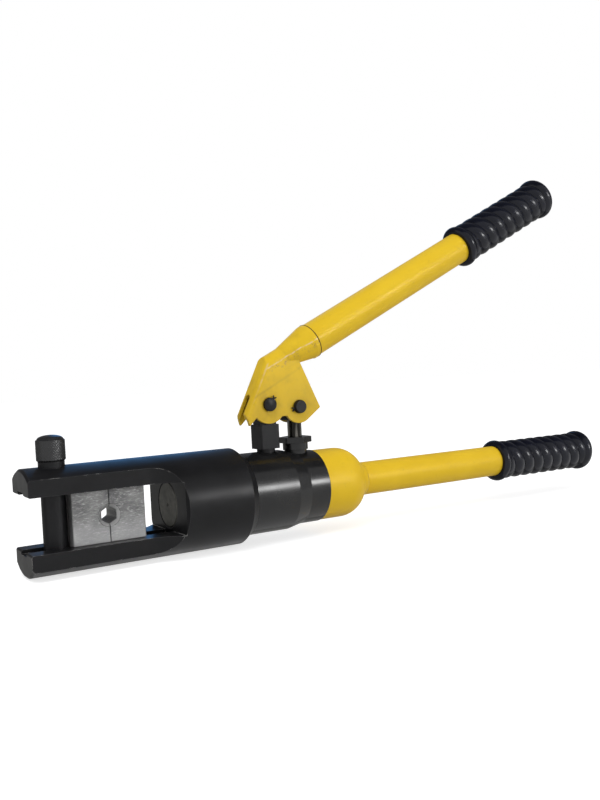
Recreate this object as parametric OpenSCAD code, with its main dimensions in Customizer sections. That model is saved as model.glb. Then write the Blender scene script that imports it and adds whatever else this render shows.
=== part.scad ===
// Hand-pumped hydraulic crimping tool with an open jaw, two loose hexagon dies and a lifting pump lever.
// X runs from the jaw to the handle, Z is up and the origin lies under the middle of the tool.

/* [Jaw head] */
// Diameter of the jaw head
head_d = 70; // [66:0.5:76]
// Length of the jaw head from the prong tips to its rear face
head_len = 156; // [152:0.5:165]
// Depth of the jaw window from the prong tips
window_len = 99.8; // [96:0.2:104]
// Clear height of the jaw window
window_h = 35.8; // [35:0.2:39]
// Width across the flats of the prongs
prong_w = 39.4; // [38:0.2:44]
// Length of the prong flats before they run out
flat_len = 79; // [76:0.5:84]
// Radius of the cutter that leaves the run-out of the flats
runout_r = 24; // [20:0.5:26]
// Width of the die guide groove in each prong
groove_w = 14; // [12:0.2:18]
// Depth of the die guide groove
groove_depth = 2.6; // [2:0.1:3.4]
// Length of the chamfer behind the head
head_chamfer_len = 6; // [4:0.5:8]
// Drop of the chamfer behind the head
head_chamfer_drop = 4.3; // [3:0.1:4.8]
// Bevel round the prong tips
tip_bevel = 1.4; // [0.8:0.1:2]
// Diameter of the cylinder bore in the head
head_bore_d = 52; // [50:0.5:54]
// Thickness of the head's wall round the ram
head_wall = 10; // [8:0.5:12]

/* [Die pin] */
// Diameter of the pin's shaft
pin_d = 15.8; // [15:0.1:16.4]
// Distance of the pin from the prong tips
pin_from_tip = 20.8; // [20:0.1:23]
// Diameter of the pin's neck
pin_neck_d = 17; // [16.6:0.2:18]
// Height of the pin's neck
pin_neck_h = 5.2; // [4.4:0.2:7]
// Diameter of the knob
knob_d = 18.8; // [18:0.2:22]
// Height of the knob's straight side
knob_h = 14.4; // [12:0.2:16]
// Height of the knob's domed top
knob_dome_h = 2.8; // [2:0.1:4]
// Bevel below the knob
knob_bevel = 1; // [0.6:0.1:1.4]
// How far the pin's lower end stays above the head's underside
pin_end_inset = 2.4; // [1.5:0.1:4]
// Depth of the flat seat for the neck below the head's crest
pin_seat_depth = 2; // [1.6:0.1:2.6]

/* [Dies] */
// Length of one die half along the jaw
die_len = 24.8; // [23:0.1:25.6]
// Width of a die half across the jaw
die_w = 23; // [20:0.2:30]
// Width across the flats of the hexagon nest
hex_af = 10.2; // [9:0.1:13]
// Diameter of the nest's flared mouth
flare_d = 14.4; // [14:0.1:17]
// Depth of the nest's flared mouth
flare_depth = 1.6; // [1.2:0.1:2.4]
// Bevel on a die's upright edges
die_bevel = 0.7; // [0.5:0.1:1.2]

/* [Ram] */
// Diameter of the ram's rod
ram_d = 31.4; // [30:0.2:33]
// Diameter of the cylinder that the piston runs in
cylinder_d = 44; // [43:0.2:45]
// Length of the piston
piston_len = 9.6; // [8:0.2:12]
// Diameter of the centre mark on the ram's face
ram_mark_d = 3; // [2:0.2:4]
// Depth of the centre mark
ram_mark_depth = 0.8; // [0.5:0.1:1.2]
// Wire diameter of the ram's return spring
ram_wire_d = 4; // [3.4:0.1:4.2]
// Bevel at the mouth of the ram's bore and on the ram's edge
ram_bevel = 0.9; // [0.5:0.1:1.3]
// Turns of the ram's return spring
ram_turns = 6; // [5:1:7]

/* [Pump body] */
// Diameter of the pump body's front part
body_d = 60; // [58:0.5:61]
// Length of the pump body's front part
body_front_len = 35; // [34:0.5:40]
// Length of the tapered step
body_step_len = 11.5; // [8:0.5:13]
// Diameter of the pump body's rear part
body_rear_d = 55; // [54:0.5:56.5]
// Length of the pump body's rear part
body_rear_len = 16.5; // [16:0.5:20]
// Length of the screwed front end inside the head
body_nose_len = 16; // [14:0.5:20]
// Depth of the cylinder from the screwed front end
cylinder_depth = 32; // [30:0.5:34]
// Diameter of the tail inside the reservoir cap
tail_d = 49.2; // [48:0.2:50]
// Length of the tail inside the reservoir cap
tail_len = 12; // [10:0.5:14]
// Diameter of the oil passages
passage_d = 3; // [2.4:0.2:3.4]
// Diameter of the valve chambers
chamber_d = 7; // [6.4:0.2:7.4]
// Depth of the rear valve chambers from the tail's end
chamber_depth = 17; // [15:0.5:18]
// Height of the suction and delivery chambers above the axis
chamber_h = 10; // [9.6:0.2:12]
// Distance of the relief chamber to the side of the axis
relief_side = 15; // [13:0.5:17]

/* [Fulcrum post] */
// Distance of the post behind the head
post_from_head = 24.6; // [24:0.1:26.6]
// Width of the post's square block
post_w = 16.2; // [15:0.1:17]
// Height of the post's square block
post_block_h = 18; // [16:0.1:19]
// Gap between the block and the pump body
post_foot_gap = 2.1; // [1.6:0.1:3]
// Diameter of the post's round neck
post_neck_d = 13.6; // [12.6:0.2:15]
// Depth of the neck in the pump body
post_neck_depth = 6; // [5:0.2:8]
// Rise of the fulcrum pin above the block's shoulder
fulcrum_rise = 14.9; // [14.8:0.1:16.5]
// Radius of the tongue's eye
tongue_r = 8.5; // [8:0.1:9.5]
// Thickness of the tongue between the cheeks
tongue_w = 11; // [9:0.2:11.2]
// Bevel on the post's block
post_bevel = 0.8; // [0.4:0.1:1.2]

/* [Pump plunger] */
// Distance from the fulcrum pin to the plunger along the tool
plunger_reach = 25.8; // [25.4:0.1:27]
// Drop of the plunger pin below the fulcrum pin
plunger_pin_drop = 3.2; // [2.6:0.1:3.6]
// Diameter of the plunger
plunger_d = 10.8; // [9.8:0.1:11.2]
// Rise of the plunger's lower end above the middle of the valve chambers
plunger_end_rise = 5.5; // [5.2:0.1:6]
// Half width of the plunger's flat eye
eye_half_w = 10.6; // [10.2:0.1:11]
// Half height of the plunger's flat eye
eye_half_h = 10; // [9:0.1:10.4]
// Thickness of the plunger's flat eye
eye_w = 11; // [9:0.2:11.2]
// Diameter of the gland's round body
gland_d = 17; // [16.4:0.1:17.6]
// Diameter of the gland's collar below its hexagon
gland_collar_d = 19.2; // [18.4:0.1:20]
// Height of the gland's collar
gland_collar_h = 5.2; // [4:0.1:5.4]
// Rise of the gland's hexagon above the pump body's rear part
gland_rise = 6.9; // [6.5:0.1:8.4]
// Thickness of the gland's hexagon
gland_hex_t = 4.4; // [4:0.1:4.6]
// Width across the flats of the gland's hexagon
gland_hex_af = 21.8; // [20.6:0.1:22]
// Depth of the gland in the pump body
gland_depth = 8; // [7:0.2:9]
// Height of the plunger seal
plunger_seal_h = 4; // [3:0.2:4.6]

/* [Lever bracket] */
// Rise of the lever above the barrel axis
lever_angle = 26.1; // [24:0.1:28]
// Distance of the lever's axis from the fulcrum pin
lever_offset = 22.5; // [21.8:0.1:23]
// Distance along the lever from the fulcrum pin to the tube seam
seam_dist = 59.2; // [57:0.1:62]
// Outer width of the bracket
bracket_w = 16.8; // [16.4:0.1:17.6]
// Thickness of the bracket's sheet
sheet_t = 2.6; // [2.4:0.1:2.7]
// Radius of the arch on top of the bracket's neck
arch_r = 8.5; // [8.5:0.1:9]
// Distance of the arch's middle from the fulcrum pin
arch_offset = 22.6; // [22:0.1:23]
// Distance along the lever where the neck starts to flare
flare_start = 30; // [28:0.5:33]
// Distance along the lever where the flare ends
flare_end = 56; // [54:0.2:57]
// Radius of the bend between the bracket's front and its cheeks
front_bend_r = 4.4; // [3.6:0.1:5]
// Lean of the bracket's front from upright
front_lean = 26.4; // [25.5:0.1:27.5]
// Distance of the bracket's front from the fulcrum pin
front_dist = 14.7; // [14.5:0.1:15.4]
// Radius of the lobe round the fulcrum pin
front_lobe_r = 14.3; // [13.8:0.1:14.4]
// Radius of the lobe round the plunger pin
rear_lobe_r = 12.4; // [11.6:0.1:12.5]
// Horizontal distance from the fulcrum pin to the rear corner
rear_corner_x = 44.7; // [43:0.1:47]
// Drop of the rear corner below the fulcrum pin
rear_corner_drop = 4.7; // [3.6:0.1:6]
// Horizontal distance from the fulcrum pin to the top of the rear edge
rear_top_x = 28.6; // [27:0.1:31]
// Height of the top of the rear edge above the fulcrum pin
rear_top_h = 29.7; // [28:0.1:31]
// Drop of the front tooth below the fulcrum pin
tooth_drop = 14.8; // [13.6:0.1:15]
// Drop of the notch between the lobes below the fulcrum pin
notch_drop = 9.5; // [8:0.1:10.5]
// Width of the slot in the bracket's front
slot_w = 7.4; // [6:0.1:7.8]
// Height of the slot's top above the fulcrum pin
slot_top_h = 1.6; // [1:0.1:4]
// Length of the spigot inside the lever tube
socket_len = 20; // [16:0.5:26]
// How far the socket stands proud of the lever tube
socket_proud = 0.5; // [0.3:0.1:0.8]

/* [Pins] */
// Diameter of the fulcrum and plunger pins
clevis_d = 10; // [9:0.1:10.2]
// How far the pins stand out of the near cheek
clevis_proud = 3.4; // [3.2:0.1:4.4]
// Diameter of the pins' heads
clevis_head_d = 13.6; // [12.6:0.1:15]
// Thickness of the pins' heads
clevis_head_t = 2.6; // [2:0.1:3.2]
// Bevel on the plunger pin's end, and height of the dome on the fulcrum pin's end
clevis_bevel = 1; // [0.6:0.1:1.4]
// Diameter of the split pins
split_d = 1.8; // [1.6:0.1:2.2]
// How far the split pins stand out of the pins
split_proud = 2.6; // [2:0.1:3.2]

/* [Handles] */
// Diameter of the handle tubes
tube_d = 26.2; // [25:0.1:27]
// Wall of the handle tubes
tube_wall = 2.5; // [2:0.1:3]
// Shown length of the lever tube
lever_tube_len = 173.5; // [150:0.5:200]
// Shown length of the fixed handle tube
handle_tube_len = 151.4; // [130:0.2:180]
// Diameter of the reservoir cap
cap_d = 54; // [53:0.2:56]
// Length of the reservoir cap
cap_len = 40; // [39:0.5:44]
// Radius of the cap's rounded shoulder
cap_round_r = 20.2; // [19.6:0.1:21]
// Length of the cap's rounded shoulder
cap_round_len = 18; // [16:0.5:18.5]
// Length of the weld behind the cap
weld_len = 6; // [5:0.5:10]
// Height of the weld over the tube
weld_h = 3.4; // [2:0.1:4]
// Diameter of the release spindle
spindle_d = 8; // [7:0.2:8.2]

/* [Grips] */
// Length of a grip
grip_len = 115; // [105:1:130]
// Diameter over the grip's ribs
rib_d = 33.4; // [32:0.2:34]
// Number of ribs
rib_count = 8; // [6:1:10]
// Diameter of the flange at the mouth
mouth_flange_d = 36; // [35:0.2:37]
// Diameter of the flange at the end
end_flange_d = 36.4; // [35:0.2:37]
// Length of the flange at the mouth
mouth_flange_len = 8; // [6:0.2:9]
// Length of the rounded flange at the end
end_flange_len = 11; // [9:0.2:12]
// Thickness of the grip's closed end
grip_end_wall = 4; // [3:0.2:5]

/* [Hidden] */
$fn = 72;

// Clearance of a running fit, measured on the radius
running = 0.05;
// Gap between curved pieces on different bodies
gap = 0.3;
// Overrun of every cut
over = 1;

// Stations along the tool
overall_len = head_len + body_front_len + body_step_len + body_rear_len + cap_len + handle_tube_len + grip_len;
tip_x = -overall_len / 2;
pin_x = tip_x + pin_from_tip;
window_x = tip_x + window_len;
head_x = tip_x + head_len;
step_x = head_x + body_front_len;
cap_x = step_x + body_step_len + body_rear_len;
tail_x = cap_x + tail_len;
cap_end_x = cap_x + cap_len;
grip_x = cap_end_x + handle_tube_len;
axis_z = head_d / 2;

// Ram and cylinder stations
head_inner_x = window_x + head_wall;
nose_x = head_x - body_nose_len;
cylinder_x = nose_x + cylinder_depth;
piston_x = cylinder_x - gap - piston_len;
wiper_t = head_wall / 3;
wiper_d = ram_d + wiper_t;
ram_seal_share = 0.4;
ram_seal_len = piston_len * ram_seal_share;
ram_seal_depth = ram_seal_len * 0.7;
spring_r = (ram_d + cylinder_d) / 4;

// Die stations, from the pin towards the ram
die_x = pin_x + pin_d / 2 + gap;
split_x = die_x + die_len;
die_body_h = window_h - 2 * gap;
tongue_h = window_h + 2 * groove_depth - 2 * gap;
die_tongue_w = groove_w - 2 * gap;

// Fulcrum, plunger and lever places
post_x = head_x + post_from_head;
plunger_x = post_x + plunger_reach;
post_foot_h = body_d / 2 + post_foot_gap;
post_shoulder_h = post_foot_h + post_block_h;
fulcrum_h = post_shoulder_h + fulcrum_rise;
plunger_end_h = chamber_h + plunger_end_rise;
plunger_pin_h = fulcrum_h - plunger_pin_drop;
cheek_gap = bracket_w - 2 * sheet_t;
// The eye's slot lets the plunger pin swing past the plunger's straight path
slot_shift_share = 0.12;
slot_half_share = 0.7;
slot_room = 0.55;
eye_slot_x = plunger_x - clevis_d * slot_shift_share;
eye_slot_half = clevis_d * slot_half_share;
plunger_low_h = plunger_end_h - clevis_d;
gland_hex_h = body_rear_d / 2 + gland_rise;
gland_top_h = gland_hex_h + gland_hex_t;
gland_foot_h = sqrt(pow(body_rear_d / 2, 2) - pow(gland_d / 2, 2)) - gland_depth;
seal_wall = (gland_d - plunger_d) / 4;

// Lever stations, measured along the lever from the fulcrum pin
lever_grip_s = seam_dist + lever_tube_len;
lever_end_s = lever_grip_s + grip_len;
neck_rear_r = tube_d / 2 + socket_proud;
flare_slope = (neck_rear_r - arch_r) / (flare_end - flare_start);
tube_bore_d = tube_d - 2 * tube_wall;

// Valve stations
chamber_x = tail_x - chamber_depth;
ball_d = chamber_d * 0.86;
valve_spring_share = 0.5;
valve_spring_len = chamber_depth * valve_spring_share;
valve_wire_d = chamber_d * 0.12;
valve_turns = 5;
valve_screw_len = chamber_depth - ball_d - valve_spring_len;
delivery_x = plunger_x - plunger_d / 2 - chamber_d;

module on_axis(x) {
    translate([x, 0, axis_z])
        rotate([0, 90, 0])
            children();
}

module rod(x0, x1, d) {
    on_axis(x0)
        cylinder(d = d, h = x1 - x0);
}

module bar(x0, x1, d, y, z) {
    translate([0, y, z])
        rod(x0, x1, d);
}

module upright(x, z0, z1, d) {
    translate([x, 0, axis_z + z0])
        cylinder(d = d, h = z1 - z0);
}

module across(x, z, y0, y1, d) {
    translate([x, y0, axis_z + z])
        rotate([-90, 0, 0])
            cylinder(d = d, h = y1 - y0);
}

// A plate drawn in X and Z, from y0 to y1
module side_plate(y0, y1) {
    translate([0, y1, axis_z])
        rotate([90, 0, 0])
            linear_extrude(y1 - y0)
                children();
}

module block(x0, x1, w, z0, z1) {
    translate([x0, -w / 2, axis_z + z0])
        cube([x1 - x0, w, z1 - z0]);
}

// A place on the lever, with local Z along the lever
module on_lever(s) {
    translate([post_x, 0, axis_z + fulcrum_h])
        rotate([0, -lever_angle, 0])
            translate([s, 0, lever_offset])
                rotate([0, 90, 0])
                    children();
}

module ring(x0, x1, outer_d, inner_d) {
    difference() {
        rod(x0, x1, outer_d);
        rod(x0 - over, x1 + over, inner_d);
    }
}

// Round wire wound on radius r, with its ends at local Z of 0 and len
function coil_points(r, wire_d, len, turns, steps, sides) = [
    for (i = [0:turns * steps])
        let (a = 360 * i / steps, h = wire_d / 2 + (len - wire_d) * i / (turns * steps))
            for (j = [0:sides - 1])
                let (b = 360 * j / sides, q = r + wire_d / 2 * cos(b))
                    [q * cos(a), q * sin(a), h + wire_d / 2 * sin(b)]
];

module coil(r, wire_d, len, turns, steps, sides) {
    last = turns * steps;
    skin = [
        for (i = [0:last - 1])
            for (j = [0:sides - 1])
                let (k = (j + 1) % sides, a = i * sides, b = a + sides)
                    each [[a + j, b + j, b + k], [a + j, b + k, a + k]]
    ];
    start_cap = [for (j = [1:sides - 2]) [0, j, j + 1]];
    end_cap = [for (j = [1:sides - 2]) [last * sides, last * sides + j + 1, last * sides + j]];
    polyhedron(
        points = coil_points(r, wire_d, len, turns, steps, sides),
        faces = concat(skin, start_cap, end_cap)
    );
    echo(least_gap_between_turns = (len - wire_d) / turns - wire_d);
}

// Flats on both sides of the prongs, with the round run-out of the cutter
module prong_flats() {
    for (side = [-1, 1]) {
        translate([tip_x - over, side > 0 ? prong_w / 2 : -prong_w / 2 - head_d, -over])
            cube([flat_len + over, head_d, head_d + 2 * over]);
        translate([tip_x + flat_len, side * (prong_w / 2 + runout_r), -over])
            cylinder(r = runout_r, h = head_d + 2 * over);
    }
}

module tip_bevels() {
    for (z = [-1, 1])
        translate([tip_x, 0, axis_z + z * window_h / 2])
            rotate([0, 45, 0])
                cube([tip_bevel, head_d + over, tip_bevel], center = true);
}

module jaw_head() {
    color("#232427")
        difference() {
            union() {
                rod(tip_x + tip_bevel, head_x - head_chamfer_len, head_d);
                on_axis(tip_x)
                    cylinder(d1 = head_d - 2 * tip_bevel, d2 = head_d, h = tip_bevel);
                on_axis(head_x - head_chamfer_len)
                    cylinder(d1 = head_d, d2 = head_d - 2 * head_chamfer_drop, h = head_chamfer_len);
            }
            block(tip_x - over, window_x, head_d + over, -window_h / 2, window_h / 2);
            block(tip_x - over, window_x, groove_w, -window_h / 2 - groove_depth, window_h / 2 + groove_depth);
            prong_flats();
            tip_bevels();
            upright(pin_x, -axis_z - over, axis_z + over, pin_d + 2 * running);
            upright(pin_x, axis_z - pin_seat_depth, axis_z + over, pin_neck_d + 2 * gap);
            rod(window_x - over, head_inner_x + over, ram_d + 2 * running);
            on_axis(window_x - over)
                cylinder(d1 = ram_d + 2 * (ram_bevel + over), d2 = ram_d, h = ram_bevel + over);
            rod(head_inner_x - wiper_t, head_inner_x + over, wiper_d);
            rod(head_inner_x, head_x + over, head_bore_d);
        }
}

module ram_wiper() {
    color("#1a1a1a")
        ring(head_inner_x - wiper_t, head_inner_x, wiper_d, ram_d + 2 * running);
}

module ram() {
    color("#54524c")
        difference() {
            union() {
                on_axis(window_x)
                    cylinder(d1 = ram_d - ram_bevel, d2 = ram_d, h = ram_bevel / 2);
                rod(window_x + ram_bevel / 2, piston_x + over, ram_d);
                rod(piston_x, piston_x + piston_len, cylinder_d - 2 * running);
            }
            on_axis(window_x - over)
                cylinder(d1 = ram_mark_d * (1 + over / ram_mark_depth), d2 = 0, h = ram_mark_depth + over);
            ring(piston_x + ram_seal_len, piston_x + 2 * ram_seal_len, head_d, cylinder_d - 2 * ram_seal_depth);
        }
}

module ram_seal() {
    color("#1a1a1a")
        ring(piston_x + ram_seal_len, piston_x + 2 * ram_seal_len, cylinder_d - 2 * running,
            cylinder_d - 2 * ram_seal_depth);
}

module ram_return_spring() {
    color("#8a8d90")
        on_axis(head_inner_x)
            coil(spring_r, ram_wire_d, piston_x - head_inner_x, ram_turns, 12, 8);
}

// One die half: its nest side faces local +X and lies at local X of 0
module die_half() {
    difference() {
        union() {
            block(-die_len, 0, die_w, -die_body_h / 2, die_body_h / 2);
            block(-die_len, 0, die_tongue_w, -tongue_h / 2, tongue_h / 2);
        }
        translate([0, die_w / 2 + over, axis_z])
            rotate([90, 0, 0])
                rotate([0, 0, 90])
                    cylinder(d = hex_af / cos(30), h = die_w + 2 * over, $fn = 6);
        for (side = [-1, 1]) {
            translate([0, side * (die_w / 2 + over), axis_z])
                rotate([side * 90, 0, 0])
                    cylinder(d1 = flare_d + (flare_d - hex_af) * over / flare_depth, d2 = hex_af,
                        h = flare_depth + over);
            for (x = [-die_len, 0])
                translate([x, side * die_w / 2, axis_z])
                    rotate([0, 0, 45])
                        cube([die_bevel, die_bevel, tongue_h + over], center = true);
        }
    }
}

module fixed_die() {
    color("#9b9da0")
        translate([split_x, 0, 0])
            die_half();
}

module moving_die() {
    color("#9b9da0")
        translate([split_x, 0, 0])
            mirror([1, 0, 0])
                die_half();
}

module die_pin() {
    color("#1d1e20") {
        upright(pin_x, pin_end_inset - axis_z, knob_z, pin_d);
        upright(pin_x, axis_z - pin_seat_depth, knob_z, pin_neck_d);
    }
}

knob_z = axis_z - pin_seat_depth + pin_neck_h;
knob_dome_r = (pow(knob_d / 2, 2) + pow(knob_dome_h, 2)) / (2 * knob_dome_h);

// A straight side, bevelled below and domed on top
module pin_knob() {
    full_h = knob_h + knob_dome_h;
    color("#1d1e20")
        translate([pin_x, 0, axis_z + knob_z])
            intersection() {
                cylinder(d = knob_d, h = full_h);
                cylinder(d1 = knob_d - 2 * knob_bevel, d2 = knob_d - 2 * knob_bevel + 2 * full_h, h = full_h);
                translate([0, 0, full_h - knob_dome_r])
                    sphere(r = knob_dome_r);
            }
}

module valve_bores() {
    // Suction, from the reservoir to the plunger
    bar(chamber_x, tail_x + over, chamber_d, 0, chamber_h);
    bar(plunger_x, chamber_x + over, passage_d, 0, chamber_h);
    // Delivery, from the plunger to the cylinder
    bar(cylinder_x - over, delivery_x, chamber_d, 0, chamber_h);
    bar(delivery_x - over, plunger_x, passage_d, 0, chamber_h);
    // Relief, beside the axis
    bar(chamber_x, tail_x + over, chamber_d, relief_side, 0);
    bar(cylinder_x - over, chamber_x + over, passage_d, relief_side, 0);
    // Release, on the axis
    rod(chamber_x, tail_x + over, spindle_d + 2 * running);
    rod(cylinder_x - over, chamber_x + over, passage_d);
}

module pump_body() {
    color("#18191b")
        difference() {
            union() {
                rod(nose_x, head_x + over, head_bore_d - 2 * running);
                rod(head_x, step_x, body_d);
                on_axis(step_x)
                    cylinder(d1 = body_d, d2 = body_rear_d, h = body_step_len);
                rod(step_x, cap_x, body_rear_d);
                rod(cap_x - over, tail_x, tail_d);
            }
            rod(nose_x - over, cylinder_x, cylinder_d);
            ring(head_x - 2 * seal_len, head_x - seal_len, head_d, head_bore_d - 2 * seal_len);
            ring(tail_x - 2 * seal_len, tail_x - seal_len, head_d, tail_d - 2 * seal_len);
            valve_bores();
            upright(plunger_x, plunger_low_h, body_d, plunger_d + 2 * running);
            upright(plunger_x, gland_foot_h, body_d, gland_d + 2 * running);
            upright(post_x, body_d / 2 - post_neck_depth, body_d, post_neck_d + 2 * running);
        }
}

seal_len = body_nose_len / 6;

module body_seal() {
    color("#1a1a1a")
        ring(head_x - 2 * seal_len, head_x - seal_len, head_bore_d - 2 * running, head_bore_d - 2 * seal_len);
}

module cap_seal() {
    color("#1a1a1a")
        ring(tail_x - 2 * seal_len, tail_x - seal_len, tail_d, tail_d - 2 * seal_len);
}

module fulcrum_post() {
    color("#1b1c1e")
        difference() {
            union() {
                upright(post_x, body_d / 2 - post_neck_depth, post_foot_h + over, post_neck_d);
                intersection() {
                    block(post_x - post_w / 2, post_x + post_w / 2, post_w, post_foot_h, post_shoulder_h);
                    translate([post_x, 0, 0])
                        rotate([0, 0, 45])
                            translate([-post_x, 0, 0])
                                block(post_x - post_diagonal, post_x + post_diagonal, 2 * post_diagonal,
                                    post_foot_h, post_shoulder_h);
                }
                side_plate(-tongue_w / 2, tongue_w / 2) {
                    translate([post_x, fulcrum_h])
                        circle(r = tongue_r);
                    translate([post_x - tongue_foot_half, post_shoulder_h - over])
                        square([2 * tongue_foot_half, fulcrum_h - post_shoulder_h + over]);
                }
            }
            across(post_x, fulcrum_h, -bracket_w, bracket_w, clevis_d + 2 * running);
        }
}

// Half the width of the square, turned by 45 degrees, that bevels the block's upright edges
post_diagonal = post_w / 2 * sqrt(2) - post_bevel;
tongue_foot_share = 0.8;
tongue_foot_half = tongue_r * tongue_foot_share;

module gland_nut() {
    color("#202124")
        difference() {
            union() {
                upright(plunger_x, gland_foot_h, gland_hex_h, gland_d);
                upright(plunger_x, gland_hex_h - gland_collar_h, gland_hex_h + over, gland_collar_d);
                translate([plunger_x, 0, axis_z + gland_hex_h])
                    rotate([0, 0, 30])
                        cylinder(d = gland_hex_af / cos(30), h = gland_hex_t, $fn = 6);
            }
            upright(plunger_x, gland_foot_h - over, gland_top_h + over, plunger_d + 2 * running);
            upright(plunger_x, gland_foot_h - over, gland_foot_h + plunger_seal_h, plunger_d + 2 * seal_wall);
        }
}

module plunger_seal() {
    color("#1a1a1a")
        difference() {
            upright(plunger_x, gland_foot_h, gland_foot_h + plunger_seal_h, plunger_d + 2 * seal_wall);
            upright(plunger_x, gland_foot_h - over, gland_top_h, plunger_d + 2 * running);
        }
}

module plunger() {
    color("#8f8f8b")
        difference() {
            union() {
                upright(plunger_x, plunger_end_h, plunger_pin_h - eye_half_h + over, plunger_d);
                intersection() {
                    block(plunger_x - eye_half_w, plunger_x + eye_half_w, eye_w,
                        plunger_pin_h - eye_half_h, plunger_pin_h + eye_half_h);
                    across(plunger_x, plunger_pin_h, -eye_w, eye_w, 2 * eye_round_r);
                }
            }
            for (end = [-1, 1])
                across(eye_slot_x + end * (eye_slot_half - clevis_d / 2), plunger_pin_h, -eye_w, eye_w,
                    clevis_d + 2 * slot_room);
            block(eye_slot_x - eye_slot_half + clevis_d / 2, eye_slot_x + eye_slot_half - clevis_d / 2, 2 * eye_w,
                plunger_pin_h - clevis_d / 2 - slot_room, plunger_pin_h + clevis_d / 2 + slot_room);
        }
}

// Radius that rounds the corners of the plunger's eye
eye_round_share = 0.86;
eye_round_r = sqrt(pow(eye_half_w, 2) + pow(eye_half_h, 2)) * eye_round_share;

// Points of the cheek's outline, measured from the fulcrum pin
front_dir = [sin(front_lean), cos(front_lean)];
front_out = [-cos(front_lean), sin(front_lean)];
lever_dir = [cos(lever_angle), sin(lever_angle)];
lever_up = [-sin(lever_angle), cos(lever_angle)];
front_foot = front_out * front_dist;
// How far up the front meets the lever's axis
front_rise = (lever_offset - front_foot * lever_up) / (front_dir * lever_up);
front_top = front_foot + front_dir * front_rise;
front_low_share = 0.95;
front_low = front_foot - front_dir * tooth_drop * front_low_share;
tooth_tip = [front_low[0] + sheet_t, -tooth_drop];
tooth_heel_angle = 40;
tooth_heel = [-front_lobe_r * cos(tooth_heel_angle), -front_lobe_r * sin(tooth_heel_angle)];
rear_pin = [plunger_reach, -plunger_pin_drop];
rear_corner = [rear_corner_x, -rear_corner_drop];
rear_top = [rear_top_x, rear_top_h];
// The lower rear edge leaves the rear lobe along a tangent to the corner
corner_way = rear_corner - rear_pin;
tangent_angle = atan2(corner_way[1], corner_way[0]) - acos(rear_lobe_r / norm(corner_way));
rear_tangent = rear_pin + rear_lobe_r * [cos(tangent_angle), sin(tangent_angle)];
// Where the rear edge, drawn on, meets the lever's axis
rear_way = rear_top - rear_corner;
rear_rise = (lever_offset - rear_corner * lever_up) / (rear_way * lever_up);
rear_meet = rear_corner + rear_way * rear_rise;

module cheek_outline() {
    translate([post_x, fulcrum_h]) {
        polygon([front_top, front_low, tooth_tip, tooth_heel, [0, 0], rear_pin, rear_tangent, rear_corner,
            rear_top, rear_meet]);
        polygon([[0, 0], [0, -notch_drop], [plunger_reach, -notch_drop], rear_pin]);
        circle(r = front_lobe_r);
        translate(rear_pin)
            circle(r = rear_lobe_r);
    }
}

// The space between the cheeks, behind the front web
module cheek_space() {
    inset = -front_out * sheet_t;
    translate([post_x, fulcrum_h])
        polygon([front_top + inset, front_low - front_dir * tooth_drop + inset, [bracket_reach, -bracket_reach],
            [bracket_reach, rear_top_h], rear_top, rear_meet]);
}

// The neck: an arch between the cheeks that flares out to the lever tube
module neck(shrink) {
    flare_len = flare_end - flare_start - shrink;
    intersection() {
        on_lever(0)
            translate([lever_offset - arch_offset, 0, 0])
                cylinder(r = arch_r - shrink, h = flare_end - shrink - sheet_t);
        bend_block(shrink);
    }
    on_lever(flare_start)
        cylinder(r1 = arch_r - shrink, r2 = arch_r - shrink + flare_slope * flare_len, h = flare_len);
}

// Reach of the cuts round the bracket
bracket_reach = 2 * seam_dist;

// Everything below the underside of the neck, which rises from the rear edge to the seam
module below_neck() {
    translate([post_x + rear_top_x, 0, axis_z + fulcrum_h + rear_top_h])
        rotate([0, -neck_rise, 0])
            translate([-over, -bracket_reach / 2, -bracket_reach])
                cube([bracket_reach, bracket_reach, bracket_reach]);
}

seam_low = seam_dist * lever_dir + (lever_offset - neck_rear_r) * lever_up;
neck_rise = atan2(seam_low[1] - rear_top_h, seam_low[0] - rear_top_x);

// A round-cornered block behind the bracket's front plane
module bend_block(shrink) {
    half_w = bracket_w / 2 - shrink;
    bend_r = front_bend_r - shrink;
    translate([post_x, 0, axis_z + fulcrum_h])
        rotate([0, front_lean, 0])
            translate([shrink - front_dist, 0, -bracket_reach])
                linear_extrude(2 * bracket_reach) {
                    for (side = [-1, 1])
                        translate([bend_r, side * (half_w - bend_r)])
                            circle(r = bend_r);
                    translate([0, bend_r - half_w])
                        square([bracket_reach, 2 * (half_w - bend_r)]);
                    translate([bend_r, -half_w])
                        square([bracket_reach, 2 * half_w]);
                }
}

module lever_bracket() {
    color("#e0b52c")
        difference() {
            union() {
                intersection() {
                    side_plate(-bracket_w / 2, bracket_w / 2)
                        cheek_outline();
                    bend_block(0);
                }
                difference() {
                    neck(0);
                    below_neck();
                }
                on_lever(flare_end)
                    cylinder(r = neck_rear_r, h = seam_dist - flare_end);
                on_lever(flare_end + over)
                    cylinder(d = tube_bore_d - 2 * running, h = seam_dist - flare_end - over + socket_len);
            }
            intersection() {
                side_plate(-cheek_gap / 2, cheek_gap / 2)
                    cheek_space();
                bend_block(sheet_t);
            }
            neck(sheet_t);
            on_lever(flare_end - 2 * sheet_t)
                cylinder(d = tube_bore_d - 2 * sheet_t, h = seam_dist - flare_end + 2 * sheet_t + socket_len + over);
            front_slot();
            across(post_x, fulcrum_h, -bracket_w, bracket_w, clevis_d + 2 * running);
            across(plunger_x, plunger_pin_h, -bracket_w, bracket_w, clevis_d + 2 * running);
        }
}

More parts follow.
